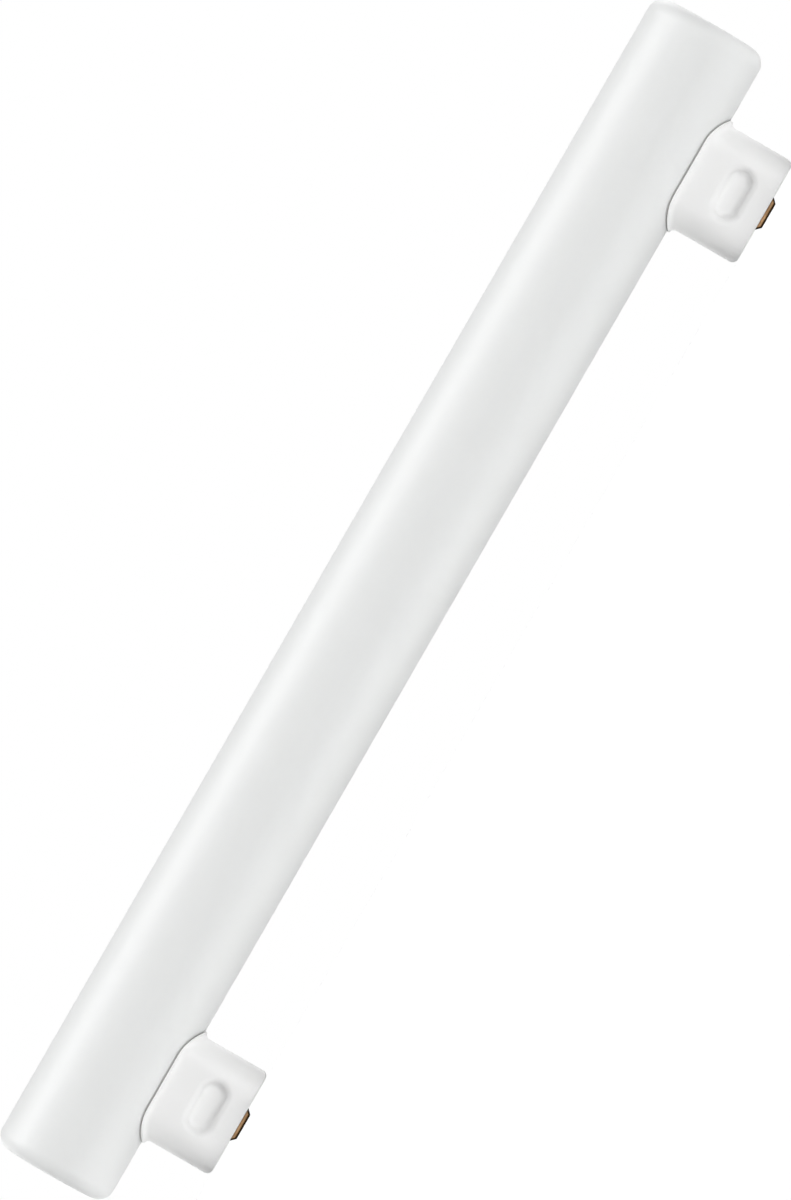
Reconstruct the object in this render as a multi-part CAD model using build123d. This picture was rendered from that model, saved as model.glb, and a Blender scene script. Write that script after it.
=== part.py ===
from build123d import *
import math
import os

# Straight opal tube lamp that plugs sideways into a pair of holders. X runs along the tube, Y
# across it and Z up. The lamp stands on its two contacts, with the origin midway between them.
# All sizes are in millimetres.

# Opal tube
tube_length = 300.0
tube_diameter = 29.0
tube_edge_radius = 3.8

# Moulded caps, each with its middle this far from the tube's end
cap_inset = 31.0
cap_length = 26.6
cap_width = 15.9
cap_corner_radius = 6.1
cap_reach = 17.1
cap_tip_radius = 1.6
cap_edge_radius = 0.4
cap_wall = 1.5
cap_floor = 1.8

# Collar that sweeps out from each cap's root to a thin lip on the tube
collar_overhang = 1.1
collar_lip = 0.25
collar_root_radius = 1.3
bond_gap = 0.05

# Open joint under the collar's lip, all round the cap
seam_height = 0.35
seam_depth = 0.8

# Scooped latch pocket in both wide faces of a cap, short of the cap's round corners by a margin and
# with the slope of its wall in degrees, and the ramp that leads the holder's latch to it
pocket_margin = 1.0
pocket_height = 6.2
pocket_depth = 2.4
pocket_rise = 8.25
pocket_slope = 74.0
pocket_round = 1.55
ramp_width = 10.4
ramp_length = 3.4
ramp_depth = 0.25

# Pressed brass contact, held by two tabs that are bent over inside the cap
contact_length = 8.4
contact_width = 5.4
contact_height = 1.15
contact_edge_radius = 0.3
tab_thickness = 0.6
tab_width = 3.2
tab_spread = 4.4
tab_foot = 2.0
tab_bend_radius = 0.5
tab_clearance = 0.1

# Lead from the tube to a tab of the contact
lead_diameter = 0.9
lead_bend_radius = 1.8
lead_overlap = 1.4
lead_gap = 0.05

# Largest share of a wall that a round may take, and how near counts as touching
round_share = 0.95
near = 0.01

# Places that follow from the sizes
tube_radius = tube_diameter / 2
tip_height = contact_height
floor_height = tip_height + cap_floor
tube_bottom = tip_height + cap_reach
axis_height = tube_bottom + tube_radius
saddle_radius = tube_radius + bond_gap
seam_radius = tube_radius + seam_height
collar_radius = seam_radius + collar_lip
pocket_length = cap_length - 2 * (cap_corner_radius + pocket_margin)
pocket_middle = tip_height + pocket_rise
pocket_inset = pocket_depth / math.tan(math.radians(pocket_slope))
pocket_round_limit = pocket_depth / 2 / (1 - math.cos(math.radians(pocket_slope)))
cap_offset = tube_length / 2 - cap_inset
foot_middle = floor_height + tab_clearance + tab_thickness / 2


def cylinder_along(radius, middle_height, length):
    """Cylinder parallel to the tube, at a given height above the contacts."""
    return Pos(0, 0, middle_height) * Rot(0, 90, 0) * Cylinder(radius, length)


def cap_prism(growth, bottom):
    """The cap's plan outline, grown by an offset, carried up to the tube's axis."""
    length = cap_length + 2 * growth
    width = cap_width + 2 * growth
    corner = min(cap_corner_radius + growth, round_share * width / 2)
    outline = Pos(0, 0, bottom) * RectangleRounded(length, width, corner)
    return extrude(outline, axis_height - bottom)


def face_plane(side):
    """Plane of a cap's wide face at the height of the latch pocket, facing outwards."""
    middle = (0, side * cap_width / 2, pocket_middle)
    return Plane(origin=middle, x_dir=(1, 0, 0), z_dir=(0, side, 0))


def make_pocket(side):
    """Scoop for one latch pocket, its wall sloping in from the mouth to a smaller floor."""
    plane = face_plane(side)
    mouth = plane * SlotOverall(pocket_length, pocket_height)
    floor = SlotOverall(pocket_length - 2 * pocket_inset, pocket_height - 2 * pocket_inset)
    return loft([mouth, plane.offset(-pocket_depth) * floor], ruled=True)


def tab_slot(side):
    """Slot through the cap's floor for one tab of the contact."""
    middle = (side * tab_spread / 2, 0, tip_height + cap_floor / 2)
    return Pos(*middle) * Box(tab_thickness + 2 * tab_clearance, tab_width + 2 * tab_clearance, cap_floor)


def make_tube():
    """Sealed opal tube with flat, round-edged ends."""
    tube = cylinder_along(tube_radius, axis_height, tube_length)
    ends = tube.edges().filter_by(GeomType.CIRCLE)
    return fillet(ends, min(tube_edge_radius, round_share * tube_radius))


def make_cap_block():
    """Outside of a cap: plug with rounded tip corners, swept collar and saddle."""
    plug = cap_prism(0, tip_height)
    tip_outline = plug.faces().sort_by(Axis.Z)[0].edges()
    plug = fillet(tip_outline, min(cap_edge_radius, round_share * cap_tip_radius))
    height = axis_height - tip_height
    side_view = Plane.XZ * Pos(0, tip_height + height / 2) * Rectangle(cap_length, height)
    tip_corners = side_view.vertices().group_by(Axis.Z)[0]
    plug &= extrude(fillet(tip_corners, cap_tip_radius), cap_width, both=True)
    block = plug + cylinder_along(collar_radius, axis_height, 2 * cap_length)
    near_wall = cap_prism(collar_overhang / 2, tip_height)

    def is_root(edge):
        """True for an edge where the plug's wall meets the round of the collar."""
        middle = edge @ 0.5
        reach = Vector(0, middle.Y, middle.Z - axis_height).length
        return abs(reach - collar_radius) < near and near_wall.is_inside(middle)

    block = fillet(block.edges().filter_by(is_root), collar_root_radius)
    block &= cap_prism(collar_overhang, tip_height)
    seat = cap_prism(collar_overhang - seam_depth, tip_height)
    seam = cylinder_along(seam_radius, axis_height, 2 * cap_length) - seat
    return block - cylinder_along(saddle_radius, axis_height, 2 * cap_length) - seam


def make_cap():
    """Moulded cap: hollow plug with a latch pocket and ramp in each wide face."""
    cap = make_cap_block()
    hollow = cap_prism(-cap_wall, floor_height)
    for side in (-1, 1):
        cap -= make_pocket(side)
        backing = SlotOverall(pocket_length + 2 * cap_wall, pocket_height + 2 * cap_wall)
        hollow -= extrude(face_plane(side) * backing, -pocket_depth - cap_wall)

    def is_pocket_edge(edge):
        """True for an edge round the mouth or the floor of a latch pocket."""
        middle = edge @ 0.5
        inset = cap_width / 2 - abs(middle.Y)
        level = min(abs(inset), abs(inset - pocket_depth)) < near
        rise = abs(middle.Z - pocket_middle)
        return level and abs(middle.X) < pocket_length / 2 + near and rise < pocket_height / 2 + near

    cap = fillet(cap.edges().filter_by(is_pocket_edge), min(pocket_round, round_share * pocket_round_limit))
    for side in (-1, 1):
        outer = side * cap_width / 2
        inner = side * (cap_width / 2 - ramp_depth)
        corners = ((outer, tip_height), (inner, tip_height), (outer, tip_height + ramp_length))
        wedge = Plane.YZ * make_face(Polyline(*corners, close=True))
        cap -= extrude(wedge, ramp_width / 2, both=True)
        hollow += tab_slot(side)
    return cap - hollow


def make_contact():
    """Brass contact: bevelled pad on the cap's end face, with its two bent tabs."""
    base = contact_length / 2
    crown = base - contact_height
    corners = ((-base, tip_height), (base, tip_height), (crown, 0), (-crown, 0))
    profile = Plane.XZ * make_face(Polyline(*corners, close=True))
    pad = extrude(profile, contact_width / 2, both=True)
    outer_edges = [edge for edge in pad.edges() if (edge @ 0.5).Z < tip_height - near]
    pad = fillet(outer_edges, contact_edge_radius)
    for side in (-1, 1):
        stem = side * tab_spread / 2
        path = FilletPolyline(
            (stem, 0, tip_height - contact_height / 2),
            (stem, 0, foot_middle),
            (stem + side * tab_foot, 0, foot_middle),
            radius=tab_bend_radius,
        )
        section = Plane(path @ 0, x_dir=(1, 0, 0), z_dir=path % 0) * Rectangle(tab_thickness, tab_width)
        pad += sweep(section, path)
    return pad


def make_lead():
    """Wire that comes down from the tube and turns in to lie on a foot of the contact."""
    rest_height = foot_middle + tab_thickness / 2 + lead_gap + lead_diameter / 2
    lead_end = tab_spread / 2 + tab_foot - lead_overlap
    lead_drop = tab_spread / 2 + tab_foot + lead_bend_radius
    path = FilletPolyline(
        (lead_drop, 0, axis_height),
        (lead_drop, 0, rest_height),
        (lead_end, 0, rest_height),
        radius=lead_bend_radius,
    )
    section = Plane(path @ 0, z_dir=path % 0) * Circle(lead_diameter / 2)
    lead = sweep(section, path)
    return lead - cylinder_along(tube_radius + lead_gap, axis_height, 2 * cap_length)


os.makedirs("parts", exist_ok=True)
export_step(make_tube(), "parts/opal_tube.step")
fittings = {"cap": make_cap(), "contact": make_contact(), "lead": make_lead()}
for end, place in (("left", -cap_offset), ("right", cap_offset)):
    for name, fitting in fittings.items():
        export_step(Pos(place, 0, 0) * fitting, f"parts/{end}_{name}.step")
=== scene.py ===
import logging
import math
from dataclasses import dataclass, field
from enum import Enum

import bmesh
import bpy
from mathutils import Matrix, Vector


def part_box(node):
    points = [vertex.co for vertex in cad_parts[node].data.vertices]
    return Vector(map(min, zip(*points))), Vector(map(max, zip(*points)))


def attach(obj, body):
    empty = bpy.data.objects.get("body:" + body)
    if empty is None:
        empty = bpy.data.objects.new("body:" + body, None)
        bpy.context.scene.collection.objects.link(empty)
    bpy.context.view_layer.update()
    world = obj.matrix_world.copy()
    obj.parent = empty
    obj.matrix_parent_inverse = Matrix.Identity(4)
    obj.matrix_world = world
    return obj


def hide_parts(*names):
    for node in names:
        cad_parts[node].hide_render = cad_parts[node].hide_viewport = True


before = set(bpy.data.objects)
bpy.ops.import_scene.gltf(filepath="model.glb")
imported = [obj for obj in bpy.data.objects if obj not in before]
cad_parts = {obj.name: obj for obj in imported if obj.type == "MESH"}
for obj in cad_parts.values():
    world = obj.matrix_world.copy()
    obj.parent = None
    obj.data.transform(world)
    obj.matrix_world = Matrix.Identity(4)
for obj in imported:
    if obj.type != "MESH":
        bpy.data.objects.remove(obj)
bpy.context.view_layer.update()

# A straight opal tube lamp with two side caps, stood on its contacts in a small studio.
# X runs along the tube, Y across it and Z up, in metres.

MM = 0.001
log = logging.getLogger("tube_lamp")


class End(Enum):
    """The two ends of the tube, as the frame's nodes name them."""

    LEFT = "left"
    RIGHT = "right"


def linear(code: str) -> tuple[float, float, float, float]:
    """Turns an sRGB hex colour into linear red, green, blue and alpha.

    Args:
        code: Six hex digits after a hash sign.

    Returns:
        The colour in linear light, with an alpha of one.
    """
    channels = []
    for start in (1, 3, 5):
        value = int(code[start:start + 2], 16) / 255
        channels.append(value / 12.92 if value <= 0.04045 else ((value + 0.055) / 1.055) ** 2.4)
    return (*channels, 1.0)


def add_node(tree: bpy.types.NodeTree, kind: str, settings: dict | None = None,
             links: dict | None = None) -> bpy.types.Node:
    """Adds a node with its settings and links.

    Args:
        tree: Node tree that takes the node.
        kind: Blender's name for the node type.
        settings: Values by socket name or number, or by the node's own property name.
        links: Output sockets by the name or number of the input that they feed.

    Returns:
        The new node.
    """
    node = tree.nodes.new(kind)
    for key, value in (settings or {}).items():
        if isinstance(key, int) or key in node.inputs:
            node.inputs[key].default_value = value
        else:
            setattr(node, key, value)
    for key, source in (links or {}).items():
        tree.links.new(source, node.inputs[key])
    return node


def new_material(name: str) -> tuple[bpy.types.Material, bpy.types.NodeTree]:
    """Makes an empty node material.

    Args:
        name: Name of the material.

    Returns:
        The material and its cleared node tree.
    """
    material = bpy.data.materials.new(name)
    material.use_nodes = True
    material.node_tree.nodes.clear()
    return material, material.node_tree


@dataclass(frozen=True)
class SatinOpalGlass:
    """Drawn opal glass with a satin outside: an even milky white, with soft draw streaks along it."""

    milk: str = "#E5E6E6"
    streak: str = "#E8E9E8"
    ior: float = 1.5
    streak_mm: float = 5.0
    streak_run_mm: float = 240.0
    # The real satin is finer than a tenth of a millimetre, so it is drawn at 0.8 mm to show at all.
    satin_mm: float = 0.8
    satin_depth_mm: float = 0.004
    roughness: tuple[float, float] = (0.44, 0.54)
    # How deep light goes into the milk before it comes back, and the share of the light that does.
    depth_mm: float = 1.5
    depth_share: float = 0.15

    def material(self) -> bpy.types.Material:
        """Builds the glass: streaks tint it, and a fine grain breaks up its sheen.

        Returns:
            The finished material.
        """
        material, tree = new_material("satin_opal_glass")
        place = add_node(tree, "ShaderNodeTexCoord")
        run = 1 / (self.streak_run_mm * MM)
        across = 1 / (self.streak_mm * MM)
        drawn = add_node(tree, "ShaderNodeMapping", {"Scale": (run, across, across)},
                         {"Vector": place.outputs["Object"]})
        streaks = add_node(tree, "ShaderNodeTexNoise", {"Scale": 1.0, "Detail": 2.0},
                           {"Vector": drawn.outputs["Vector"]})
        tint = add_node(tree, "ShaderNodeMix",
                        {"data_type": "RGBA", 6: linear(self.milk), 7: linear(self.streak)},
                        {0: streaks.outputs["Fac"]})
        grain = add_node(tree, "ShaderNodeTexNoise", {"Scale": 1 / (self.satin_mm * MM), "Detail": 1.0},
                         {"Vector": place.outputs["Object"]})
        sheen = add_node(tree, "ShaderNodeMapRange",
                         {"To Min": self.roughness[0], "To Max": self.roughness[1]},
                         {"Value": streaks.outputs["Fac"]})
        relief = add_node(tree, "ShaderNodeBump", {"Strength": 1.0, "Distance": self.satin_depth_mm * MM},
                          {"Height": grain.outputs["Fac"]})
        surface = add_node(tree, "ShaderNodeBsdfPrincipled",
                           {"IOR": self.ior, "Subsurface Weight": self.depth_share,
                            "Subsurface Radius": (1.0, 1.0, 1.0), "Subsurface Scale": self.depth_mm * MM},
                           {"Base Color": tint.outputs[2], "Roughness": sheen.outputs["Result"],
                            "Normal": relief.outputs["Normal"]})
        add_node(tree, "ShaderNodeOutputMaterial", None, {"Surface": surface.outputs["BSDF"]})
        return material


@dataclass(frozen=True)
class MouldedPolyester:
    """White PBT from a spark-eroded mould: a close matt grain, and painted shade in the joint next to the
    tube.
    """

    pale: str = "#F6F6F6"
    deep: str = "#F3F3F2"
    # Painted shade: grey in the open joint next to the tube.
    joint_shade: str = "#95938E"
    # Height of the tube's axis, and the distances from it at which the painted joint shade starts and is
    # full.
    axis_mm: float = 32.75
    joint_shade_mm: tuple[float, float] = (14.95, 14.87)
    ior: float = 1.56
    cloud_mm: float = 9.0
    # The real grain is about 0.1 mm, too fine for the render, so it is drawn at 0.4 mm.
    grain_mm: float = 0.4
    grain_depth_mm: float = 0.006
    roughness: tuple[float, float] = (0.38, 0.48)

    def material(self) -> bpy.types.Material:
        """Builds the plastic: faint flow clouds, painted shade in the joint next to the tube and a matt
        sheen from the mould.

        Returns:
            The finished material.
        """
        material, tree = new_material("moulded_white_polyester")
        place = add_node(tree, "ShaderNodeTexCoord")
        clouds = add_node(tree, "ShaderNodeTexNoise", {"Scale": 1 / (self.cloud_mm * MM), "Detail": 3.0},
                          {"Vector": place.outputs["Object"]})
        flow = add_node(tree, "ShaderNodeMix",
                        {"data_type": "RGBA", 6: linear(self.pale), 7: linear(self.deep)},
                        {0: clouds.outputs["Fac"]})
        across = add_node(tree, "ShaderNodeMapping",
                          {"Location": (0.0, 0.0, -self.axis_mm * MM), "Scale": (0.0, 1.0, 1.0)},
                          {"Vector": place.outputs["Object"]})
        reach = add_node(tree, "ShaderNodeVectorMath", {"operation": "LENGTH"},
                         {0: across.outputs["Vector"]})
        # Painted shade: the grey comes in close to the tube, in the joint.
        shade_mask = add_node(tree, "ShaderNodeMapRange",
                         {"From Min": self.joint_shade_mm[0] * MM, "From Max": self.joint_shade_mm[1] * MM},
                         {"Value": reach.outputs["Value"]})
        tint = add_node(tree, "ShaderNodeMix", {"data_type": "RGBA", 7: linear(self.joint_shade)},
                        {0: shade_mask.outputs["Result"], 6: flow.outputs[2]})
        grain = add_node(tree, "ShaderNodeTexNoise", {"Scale": 1 / (self.grain_mm * MM), "Detail": 2.0},
                         {"Vector": place.outputs["Object"]})
        sheen = add_node(tree, "ShaderNodeMapRange",
                         {"To Min": self.roughness[0], "To Max": self.roughness[1]},
                         {"Value": grain.outputs["Fac"]})
        relief = add_node(tree, "ShaderNodeBump", {"Strength": 1.0, "Distance": self.grain_depth_mm * MM},
                          {"Height": grain.outputs["Fac"]})
        surface = add_node(tree, "ShaderNodeBsdfPrincipled", {"IOR": self.ior},
                           {"Base Color": tint.outputs[2], "Roughness": sheen.outputs["Result"],
                            "Normal": relief.outputs["Normal"]})
        add_node(tree, "ShaderNodeOutputMaterial", None, {"Surface": surface.outputs["BSDF"]})
        return material


@dataclass(frozen=True)
class PressedBrass:
    """Brass strip, blanked and pressed: bright in patches, with a painted dark reflection along its outer
    face and bevels.
    """

    bright: str = "#C6A27B"
    tarnish: str = "#8E6845"
    # Painted dark reflection: dark brown along the pad's outer face and bevels.
    painted_reflection: str = "#33210F"
    # How far in from the pad's outer face and bevels the painted dark reflection starts and is full.
    painted_reflection_mm: tuple[float, float] = (0.70, 0.32)
    # Middle of each pad along the lamp, and half the length of its outer face.
    pad_place_mm: float = 119.0
    pad_half_mm: float = 3.05
    patch_mm: float = 1.6
    # Real rolling lines are a few hundredths of a millimetre apart, so they are drawn at 0.3 mm to show.
    line_mm: float = 0.3
    line_run_mm: float = 6.0
    line_depth_mm: float = 0.01
    roughness: tuple[float, float] = (0.26, 0.42)

    def edge_distance(self, tree: bpy.types.NodeTree, place: bpy.types.Node) -> bpy.types.Node:
        """Measures how far a point lies from the pad's outer face and its two bevels.

        Args:
            tree: Node tree that the nodes are added to.
            place: Texture coordinate node whose object output gives the point.

        Returns:
            The node that gives the smaller of the two distances, in metres.
        """
        point = add_node(tree, "ShaderNodeSeparateXYZ", None, {0: place.outputs["Object"]})
        side = add_node(tree, "ShaderNodeMath", {"operation": "ABSOLUTE"}, {0: point.outputs["X"]})
        shift = add_node(tree, "ShaderNodeMath", {"operation": "SUBTRACT", 1: self.pad_place_mm * MM},
                         {0: side.outputs[0]})
        reach = add_node(tree, "ShaderNodeMath", {"operation": "ABSOLUTE"}, {0: shift.outputs[0]})
        slope = add_node(tree, "ShaderNodeMath", {"operation": "SUBTRACT"},
                         {0: point.outputs["Z"], 1: reach.outputs[0]})
        bevel = add_node(tree, "ShaderNodeMath", {"operation": "ADD", 1: self.pad_half_mm * MM},
                         {0: slope.outputs[0]})
        return add_node(tree, "ShaderNodeMath", {"operation": "MINIMUM"},
                        {0: point.outputs["Z"], 1: bevel.outputs[0]})

    def material(self) -> bpy.types.Material:
        """Builds the brass: tarnish in patches, a painted dark reflection at the edges, and rolling lines
        along X.

        Returns:
            The finished material.
        """
        material, tree = new_material("pressed_brass")
        place = add_node(tree, "ShaderNodeTexCoord")
        patches = add_node(tree, "ShaderNodeTexNoise", {"Scale": 1 / (self.patch_mm * MM), "Detail": 4.0},
                           {"Vector": place.outputs["Object"]})
        aged = add_node(tree, "ShaderNodeMix",
                        {"data_type": "RGBA", 6: linear(self.bright), 7: linear(self.tarnish)},
                        {0: patches.outputs["Fac"]})
        depth = self.edge_distance(tree, place)
        # Painted dark reflection: strongest on the pad's outer face and bevels.
        reflection_mask = add_node(tree, "ShaderNodeMapRange",
                        {"interpolation_type": "SMOOTHSTEP", "From Min": self.painted_reflection_mm[0] * MM,
                         "From Max": self.painted_reflection_mm[1] * MM},
                        {"Value": depth.outputs[0]})
        tint = add_node(tree, "ShaderNodeMix", {"data_type": "RGBA", 7: linear(self.painted_reflection)},
                        {0: reflection_mask.outputs["Result"], 6: aged.outputs[2]})
        across = 1 / (self.line_mm * MM)
        along = add_node(tree, "ShaderNodeMapping",
                         {"Scale": (1 / (self.line_run_mm * MM), across, across)},
                         {"Vector": place.outputs["Object"]})
        lines = add_node(tree, "ShaderNodeTexNoise", {"Scale": 1.0, "Detail": 1.0},
                         {"Vector": along.outputs["Vector"]})
        sheen = add_node(tree, "ShaderNodeMapRange",
                         {"To Min": self.roughness[0], "To Max": self.roughness[1]},
                         {"Value": patches.outputs["Fac"]})
        relief = add_node(tree, "ShaderNodeBump", {"Strength": 1.0, "Distance": self.line_depth_mm * MM},
                          {"Height": lines.outputs["Fac"]})
        surface = add_node(tree, "ShaderNodeBsdfPrincipled", {"Metallic": 1.0},
                           {"Base Color": tint.outputs[2], "Roughness": sheen.outputs["Result"],
                            "Normal": relief.outputs["Normal"]})
        add_node(tree, "ShaderNodeOutputMaterial", None, {"Surface": surface.outputs["BSDF"]})
        return material


@dataclass(frozen=True)
class TinnedCopper:
    """Copper wire dipped in tin: a soft grey shine with faint runs along it."""

    tin: str = "#CBCAC6"
    run: str = "#B4B2AC"
    run_mm: float = 0.6
    roughness: tuple[float, float] = (0.28, 0.40)

    def material(self) -> bpy.types.Material:
        """Builds the tin: thicker runs are greyer and duller.

        Returns:
            The finished material.
        """
        material, tree = new_material("tinned_copper_wire")
        place = add_node(tree, "ShaderNodeTexCoord")
        runs = add_node(tree, "ShaderNodeTexNoise", {"Scale": 1 / (self.run_mm * MM), "Detail": 2.0},
                        {"Vector": place.outputs["Object"]})
        tint = add_node(tree, "ShaderNodeMix",
                        {"data_type": "RGBA", 6: linear(self.tin), 7: linear(self.run)},
                        {0: runs.outputs["Fac"]})
        sheen = add_node(tree, "ShaderNodeMapRange",
                         {"To Min": self.roughness[0], "To Max": self.roughness[1]},
                         {"Value": runs.outputs["Fac"]})
        surface = add_node(tree, "ShaderNodeBsdfPrincipled", {"Metallic": 1.0},
                           {"Base Color": tint.outputs[2], "Roughness": sheen.outputs["Result"]})
        add_node(tree, "ShaderNodeOutputMaterial", None, {"Surface": surface.outputs["BSDF"]})
        return material


def dress_node(name: str, material: bpy.types.Material) -> bpy.types.Object:
    """Gives a CAD node a finish in place of its plain one.

    Args:
        name: Name of the node.
        material: Finish for all of its faces.

    Returns:
        The node's object.
    """
    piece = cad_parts[name]
    for slot in piece.material_slots:
        slot.material = material
    return piece


@dataclass
class OpalTube:
    """The sealed tube: a long lathe form with flat, round-edged ends."""

    finish: SatinOpalGlass = field(default_factory=SatinOpalGlass)
    edge_radius: float = 3.8 * MM
    segments: int = 160
    edge_steps: int = 14
    body_steps: int = 40
    # Rings on an end's flat face, as shares of its radius.
    face_rings: tuple[float, ...] = (0.0, 0.45, 0.8)

    def __post_init__(self) -> None:
        """Takes the tube's place from the frame."""
        low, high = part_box("opal_tube")
        self.axis = Vector((0.0, (low.y + high.y) / 2, (low.z + high.z) / 2))
        self.radius = min(high.y - low.y, high.z - low.z) / 2
        self.ends = (low.x, high.x)

    def outline(self) -> list[tuple[float, float]]:
        """Works out the tube's half section.

        Returns:
            Places along the axis with the radius at each, from one end's middle to the other's.
        """
        start, stop = self.ends
        flat = self.radius - self.edge_radius
        points = [(start, flat * share) for share in self.face_rings]
        for step in range(self.edge_steps + 1):
            turn = math.pi / 2 * step / self.edge_steps
            place = start + self.edge_radius * (1 - math.cos(turn))
            points.append((place, flat + self.edge_radius * math.sin(turn)))
        edge_end = len(points) - 1
        straight = stop - start - 2 * self.edge_radius
        for step in range(1, self.body_steps):
            points.append((start + self.edge_radius + straight * step / self.body_steps, self.radius))
        mirrored = [(start + stop - place, radius) for place, radius in points[edge_end::-1]]
        return points + mirrored

    def build(self) -> bpy.types.Object:
        """Turns the half section round the axis.

        Returns:
            The tube's object, in place of its CAD node.
        """
        mesh = bmesh.new()
        rings = []
        for place, radius in self.outline():
            if radius == 0.0:
                rings.append([mesh.verts.new((place, self.axis.y, self.axis.z))])
                continue
            ring = []
            for step in range(self.segments):
                turn = 2 * math.pi * step / self.segments
                ring.append(mesh.verts.new((place, self.axis.y + radius * math.cos(turn),
                                            self.axis.z + radius * math.sin(turn))))
            rings.append(ring)
        for ring, after in zip(rings, rings[1:]):
            for step in range(self.segments):
                follow = (step + 1) % self.segments
                if len(ring) == 1:
                    mesh.faces.new((ring[0], after[follow], after[step]))
                elif len(after) == 1:
                    mesh.faces.new((ring[step], ring[follow], after[0]))
                else:
                    mesh.faces.new((ring[step], ring[follow], after[follow], after[step]))
        bmesh.ops.recalc_face_normals(mesh, faces=mesh.faces)
        for face in mesh.faces:
            face.smooth = True
        data = bpy.data.meshes.new("opal_tube_glass")
        mesh.to_mesh(data)
        mesh.free()
        data.materials.append(self.finish.material())
        piece = bpy.data.objects.new("opal_tube_glass", data)
        bpy.context.scene.collection.objects.link(piece)
        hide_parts("opal_tube")
        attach(piece, "root")
        return piece


@dataclass
class SideFitting:
    """What one end carries: a moulded cap, its brass contact and the lead between tube and contact."""

    end: End
    plastic: bpy.types.Material
    brass: bpy.types.Material
    tin: bpy.types.Material

    def dress(self) -> list[bpy.types.Object]:
        """Gives the cap, contact and lead their finishes.

        Returns:
            The three dressed objects.
        """
        finishes = {"cap": self.plastic, "contact": self.brass, "lead": self.tin}
        return [dress_node(f"{self.end.value}_{part}", finish) for part, finish in finishes.items()]


@dataclass(frozen=True)
class Glow:
    """A far, soft-edged lamp, with its brightness given against white paper.

    Its compass way is in degrees from the front, with the right at 90, and its height in degrees above
    the floor, which hides any part of it that lies lower. It is evenly bright out to its core and fades
    to nothing at its reach, both in degrees.
    """

    compass: float
    height: float
    core: float
    reach: float
    brightness: float

    def way(self) -> Vector:
        """Gives the direction from the lamp on the floor to the glow."""
        compass, height = math.radians(self.compass), math.radians(self.height)
        level = math.cos(height)
        return Vector((level * math.sin(compass), -level * math.cos(compass), math.sin(height)))

    def shine(self, tree: bpy.types.NodeTree, way: bpy.types.NodeSocket) -> bpy.types.NodeSocket:
        """Works out how bright the glow is in each direction.

        Args:
            tree: The world's node tree.
            way: Direction that is looked in.

        Returns:
            Output with the brightness.
        """
        nearness = add_node(tree, "ShaderNodeVectorMath", {"operation": "DOT_PRODUCT", 1: self.way()},
                            {0: way})
        fade = add_node(tree, "ShaderNodeMapRange",
                        {"interpolation_type": "SMOOTHSTEP", "To Max": self.brightness,
                         "From Min": math.cos(math.radians(self.reach)),
                         "From Max": math.cos(math.radians(self.core))},
                        {"Value": nearness.outputs["Value"]})
        return fade.outputs["Result"]


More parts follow.
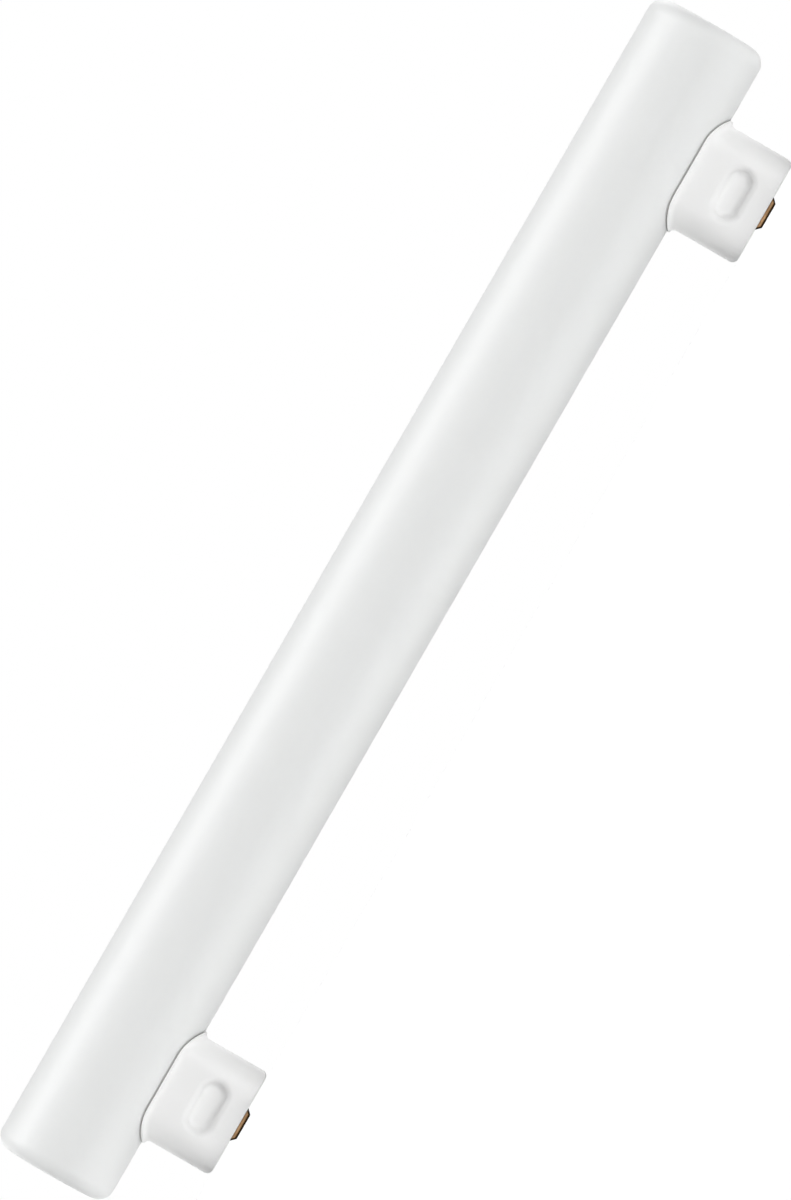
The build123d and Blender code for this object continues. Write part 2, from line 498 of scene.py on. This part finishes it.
@dataclass
class Studio:
    """Pale floor, soft glows all round, a low white backdrop and the camera."""

    floor_colour: str = "#FAFAFA"
    floor_half: float = 60.0
    # A hair under the contacts, so that no face lies in another.
    floor_level: float = -0.05 * MM
    # Sines of the heights above the floor at which the backdrop starts to fade and has gone.
    backdrop: tuple[float, float] = (0.12, 0.20)
    tilt_deg: float = 60.03
    target: tuple[float, float, float] = (1.523 * MM, 0.0, 29.788 * MM)
    eye_height: float = 1.0 * MM
    frame_height: float = 271.64 * MM
    distance: float = 4.0
    sensor: float = 36.0
    clip: tuple[float, float] = (5 * MM, 100.0)
    # One lamp low in front, three behind that light the back, and two high above.
    glows: tuple[Glow, ...] = (
        Glow(20, -4, 10, 26, 7.8),
        Glow(-142, 17, 8, 22, 2.8),
        Glow(145, 17, 8, 22, 3.4),
        Glow(180, 15, 10, 30, 0.4),
        Glow(-80, 74, 8, 22, 7.4),
        Glow(45, 74, 8, 22, 3.8),
    )

    def floor(self) -> bpy.types.Object:
        """Lays the pale floor just under the contacts.

        Returns:
            The floor's object.
        """
        half = self.floor_half
        data = bpy.data.meshes.new("floor")
        level = self.floor_level
        corners = [(-half, -half, level), (half, -half, level), (half, half, level), (-half, half, level)]
        data.from_pydata(corners, [], [(0, 1, 2, 3)])
        material, tree = new_material("pale_floor")
        surface = add_node(tree, "ShaderNodeBsdfDiffuse", {"Color": linear(self.floor_colour)})
        add_node(tree, "ShaderNodeOutputMaterial", None, {"Surface": surface.outputs["BSDF"]})
        data.materials.append(material)
        piece = bpy.data.objects.new("floor", data)
        bpy.context.scene.collection.objects.link(piece)
        return piece

    def world(self) -> None:
        """Adds up the glows, and shows a white backdrop low behind the lamp and in what mirrors it."""
        world = bpy.data.worlds.new("studio")
        bpy.context.scene.world = world
        world.use_nodes = True
        tree = world.node_tree
        tree.nodes.clear()
        way = add_node(tree, "ShaderNodeTexCoord").outputs["Generated"]
        light = self.glows[0].shine(tree, way)
        for glow in self.glows[1:]:
            light = add_node(tree, "ShaderNodeMath", {"operation": "ADD"},
                             {0: light, 1: glow.shine(tree, way)}).outputs[0]
        path = add_node(tree, "ShaderNodeLightPath")
        seen = add_node(tree, "ShaderNodeMath", {"operation": "MAXIMUM"},
                        {0: path.outputs["Is Camera Ray"], 1: path.outputs["Is Glossy Ray"]})
        shown = add_node(tree, "ShaderNodeMath", {"operation": "MAXIMUM"},
                         {0: seen.outputs[0], 1: path.outputs["Is Transmission Ray"]})
        height = add_node(tree, "ShaderNodeSeparateXYZ", None, {0: way})
        start, stop = self.backdrop
        wall = add_node(tree, "ShaderNodeMapRange",
                        {"interpolation_type": "SMOOTHSTEP", "From Min": stop, "From Max": start},
                        {"Value": height.outputs["Z"]})
        white = add_node(tree, "ShaderNodeMath", {"operation": "MULTIPLY"},
                         {0: wall.outputs["Result"], 1: shown.outputs[0]})
        strength = add_node(tree, "ShaderNodeMath", {"operation": "MAXIMUM"},
                            {0: light, 1: white.outputs[0]})
        surface = add_node(tree, "ShaderNodeBackground", {"Color": linear("#FFFFFF")},
                           {"Strength": strength.outputs[0]})
        add_node(tree, "ShaderNodeOutputWorld", None, {"Surface": surface.outputs["Background"]})

    def camera(self) -> bpy.types.Object:
        """Sets the camera low and square to the lamp, rolled so that the tube runs up to the right.

        Returns:
            The camera's object.
        """
        data = bpy.data.cameras.new("camera")
        data.sensor_width = self.sensor
        data.lens = self.sensor * self.distance / self.frame_height
        data.clip_start, data.clip_end = self.clip
        target = Vector(self.target)
        eye = Vector((target.x, -self.distance, self.eye_height))
        ahead = (target - eye).normalized()
        level = Vector((1.0, 0.0, 0.0))
        tilt = math.radians(self.tilt_deg)
        right = math.cos(tilt) * level - math.sin(tilt) * level.cross(ahead)
        turn = Matrix((right, right.cross(ahead), -ahead)).transposed().to_4x4()
        piece = bpy.data.objects.new("camera", data)
        piece.matrix_world = Matrix.Translation(eye) @ turn
        bpy.context.scene.collection.objects.link(piece)
        bpy.context.scene.camera = piece
        return piece

    def build(self) -> None:
        """Sets up the floor, the light and the camera."""
        self.floor()
        self.world()
        self.camera()
        bpy.context.scene.view_settings.view_transform = "Standard"


def main() -> None:
    """Builds and dresses the lamp, sets up the studio and logs each piece's name."""
    logging.basicConfig(level=logging.INFO, format="%(message)s")
    log.info("built %s", OpalTube().build().name)
    plastic = MouldedPolyester().material()
    brass = PressedBrass().material()
    tin = TinnedCopper().material()
    for end in End:
        for piece in SideFitting(end, plastic, brass, tin).dress():
            log.info("dressed %s", piece.name)
    Studio().build()


if __name__ == "__main__":
    main()
